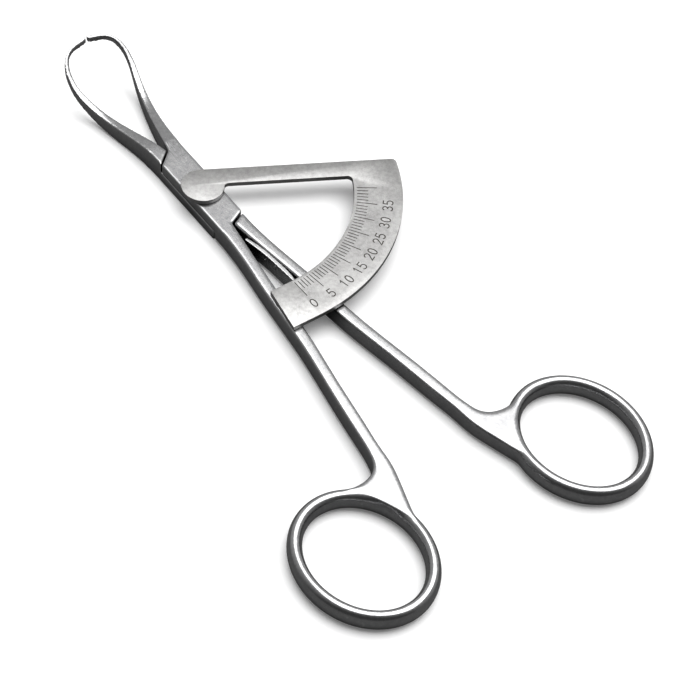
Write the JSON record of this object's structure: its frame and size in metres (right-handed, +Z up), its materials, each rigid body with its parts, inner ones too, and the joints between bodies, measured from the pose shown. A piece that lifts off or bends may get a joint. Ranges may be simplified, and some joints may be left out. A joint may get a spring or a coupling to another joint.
{
  "type": "measuring calliper forceps",
  "caption": "Ring-handled stainless steel calliper with bowed pointed jaws, a pivoting lap joint and a quadrant scale plate read by a pointer on the far shank.",
  "frame": {"origin": "on the pivot axis, in the plane that the instrument rests on", "axes": "+Y towards the jaw tips, +X towards the scale plate, +Z up out of the scale face"},
  "size_m": [0.075, 0.1444, 0.0112],
  "materials": {
    "satin_steel": "satin polished stainless steel",
    "plate_steel": "fine brushed stainless sheet with etched graduations",
    "pointer_steel": "satin stainless leaf",
    "pin_steel": "ground stainless pin"
  },
  "bodies": {
    "frame_half": {"upper_half": "satin_steel", "pivot_rivet": "pin_steel", "scale_plate": "plate_steel", "plate_pins": "pin_steel"},
    "swing_half": {"lower_half": "satin_steel", "pointer": "pointer_steel", "pointer_pins": "pin_steel"}
  },
  "joints": [
    {"name": "jaw_hinge", "type": "hinge", "parent": "frame_half", "child": "swing_half", "pos_m": [0, 0, 0.0023], "axis": [0, 0, 1], "range_deg": [0, 56]}
  ]
}
